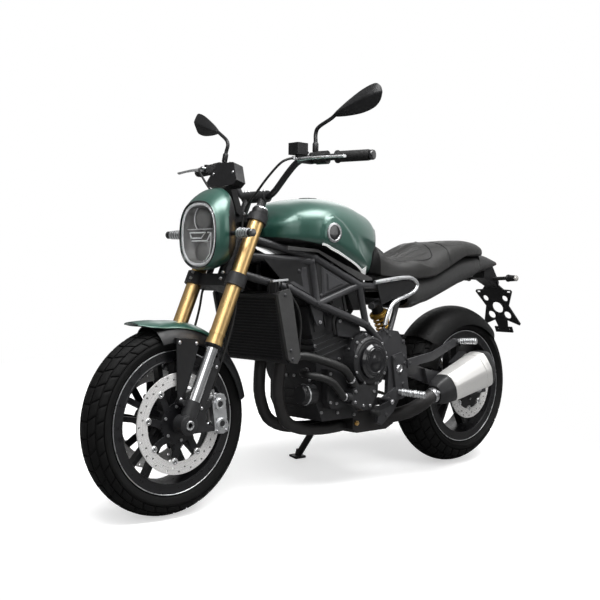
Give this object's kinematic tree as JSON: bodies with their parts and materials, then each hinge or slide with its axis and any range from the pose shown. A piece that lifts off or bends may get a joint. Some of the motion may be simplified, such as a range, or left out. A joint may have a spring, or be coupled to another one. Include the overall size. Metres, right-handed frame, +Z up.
{
  "type": "scrambler motorcycle",
  "caption": "Scrambler motorcycle with a trellis frame, upside-down fork, cast wheels, single-sided silencer and a ribbed two-part seat, leaning on its side stand.",
  "frame": {"origin": "on the ground, below the middle of the bounding box", "axes": "+X forward, +Y to the side that carries the silencer, +Z up; the machine leans on its side stand, toward -Y"},
  "size_m": [2.1561, 0.9485, 1.432],
  "materials": {
    "frame_grey": "satin",
    "black_plastic": "satin",
    "grey_plastic": "satin",
    "green_paint": "satin metallic",
    "black_metal": "satin",
    "seat_leather": "matte",
    "silver": "brushed",
    "red_lens": "gloss",
    "engine_grey": "satin",
    "hose_rubber": "matte",
    "exhaust_steel": "brushed",
    "bolt_steel": "brushed",
    "spring_gold": "gloss",
    "chain_steel": "oiled",
    "fork_gold": "anodised",
    "bright_steel": "polished",
    "lamp_glass": "gloss",
    "grip_rubber": "matte",
    "tyre": "matte",
    "disc_steel": "brushed"
  },
  "bodies": {
    "chassis": {"frame": "frame_grey", "frame_panels": "black_plastic", "tank_trims": "black_plastic", "fuel_tank": "green_paint", "fuel_cap": "black_metal", "seat": "seat_leather", "tail_fairing": "grey_plastic", "seat_loops": "silver", "side_covers": "black_plastic", "tail_light": "red_lens", "plate_holder": "black_plastic", "rear_indicators": "black_plastic", "engine_block": "engine_grey", "engine_covers": "black_metal", "airbox": "black_plastic", "radiator": "black_metal", "radiator_shrouds": "grey_plastic", "coolant_hoses": "hose_rubber", "exhaust_pipes": "exhaust_steel", "silencer": "exhaust_steel", "swingarm": "frame_grey", "pivot_bolt": "bolt_steel", "rear_axle": "bolt_steel", "shock_body": "black_metal", "shock_spring": "spring_gold", "rear_hugger": "black_plastic", "rear_caliper": "black_metal", "chain": "chain_steel", "footrests": "silver", "pedals": "silver", "stand_bolt": "bolt_steel"},
    "steering": {"triple_clamps": "black_metal", "fork_tubes": "fork_gold", "fork_stanchions": "bright_steel", "fork_feet": "black_metal", "front_axle": "bolt_steel", "front_calipers": "silver", "front_mudguard": "black_plastic", "mudguard_cap": "green_paint", "headlight_shell": "green_paint", "headlight_lens": "lamp_glass", "instrument": "black_plastic", "handlebar": "black_metal", "brake_lines": "hose_rubber", "grips": "grip_rubber", "levers": "silver", "switchgear": "black_plastic", "mirrors": "black_plastic", "front_indicators": "black_plastic"},
    "front_wheel": {"front_tyre": "tyre", "front_rim": "black_metal", "front_discs": "disc_steel"},
    "rear_wheel": {"rear_tyre": "tyre", "rear_rim": "black_metal", "rear_disc": "disc_steel", "rear_sprocket": "chain_steel"},
    "side_stand": {"side_stand": "black_metal"}
  },
  "joints": [
    {"name": "steering", "type": "hinge", "parent": "chassis", "child": "steering", "pos_m": [0.74303, 0.18523, 0.28236], "axis": [-0.4067, -0.1586, 0.8997], "range_deg": [-28, 28]},
    {"name": "front_wheel_spin", "type": "hinge", "parent": "steering", "child": "front_wheel", "pos_m": [0.775, 0.18276, 0.29638], "axis": [0, 0.9848, 0.1736], "continuous": true},
    {"name": "rear_wheel_spin", "type": "hinge", "parent": "chassis", "child": "rear_wheel", "pos_m": [-0.685, 0.18007, 0.31161], "axis": [0, 0.9848, 0.1736], "continuous": true},
    {"name": "side_stand_fold", "type": "hinge", "parent": "chassis", "child": "side_stand", "pos_m": [-0.095, 0.03848, 0.21049], "axis": [0, 0.9848, 0.1736], "range_deg": [0, 85]}
  ]
}
